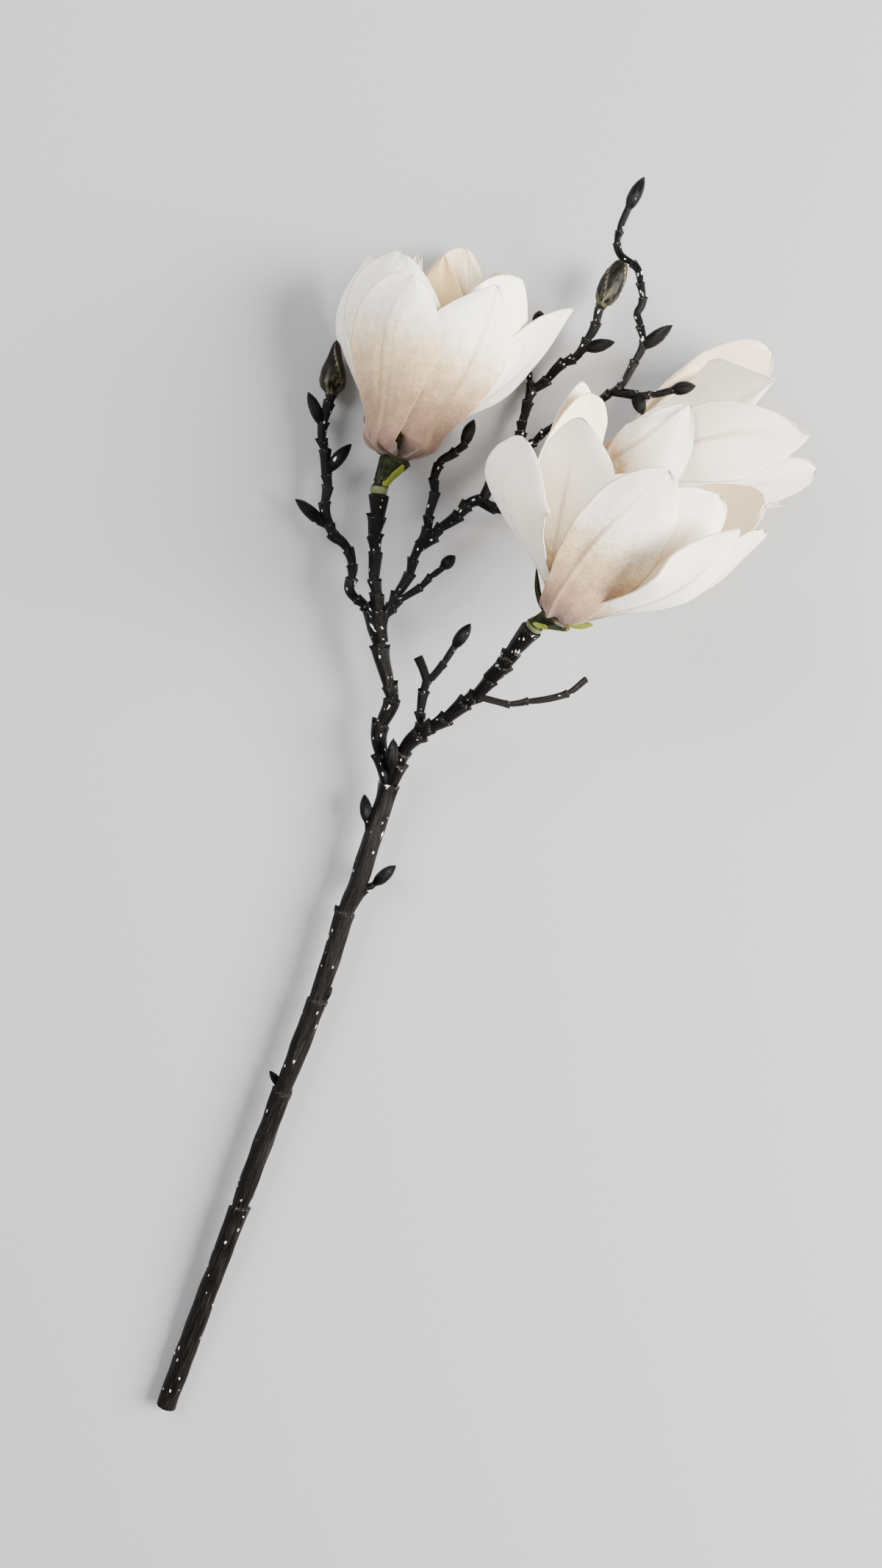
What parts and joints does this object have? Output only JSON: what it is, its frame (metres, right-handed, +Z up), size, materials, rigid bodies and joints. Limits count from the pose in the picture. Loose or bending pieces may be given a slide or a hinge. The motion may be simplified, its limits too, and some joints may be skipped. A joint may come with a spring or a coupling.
{
  "type": "saucer magnolia branch",
  "caption": "Cut saucer magnolia branch lying flat: dark ringed stem forked into two limbs, cream cupped blooms on green stalks, olive flower buds and small dark buds.",
  "frame": {"origin": "centre of the outline seen from above, on the surface that the branch lies on", "axes": "+Z up from the surface, +Y from the cut end of the stem towards the blooms, +X to the right as seen from above"},
  "size_m": [0.2553, 0.4798, 0.1146],
  "materials": {
    "bark": "satin near-black with painted cream flecks",
    "petal": "fine woven cream cloth, dusty pink-tan towards the foot",
    "green": "satin yellow-green with dark patches",
    "heart": "satin yellow-green",
    "olive": "satin dark olive with creamy mottling"
  },
  "bodies": {
    "root": {"branch": "bark", "flower_bud_left": "olive", "flower_bud_top": "olive", "bloom_1_petals": "petal", "bloom_1_receptacle": "green", "bloom_1_heart": "heart", "bloom_2_petals": "petal", "bloom_2_receptacle": "green", "bloom_2_heart": "heart", "bloom_3_petals": "petal", "bloom_3_receptacle": "green", "bloom_3_heart": "heart"}
  },
  "joints": []
}
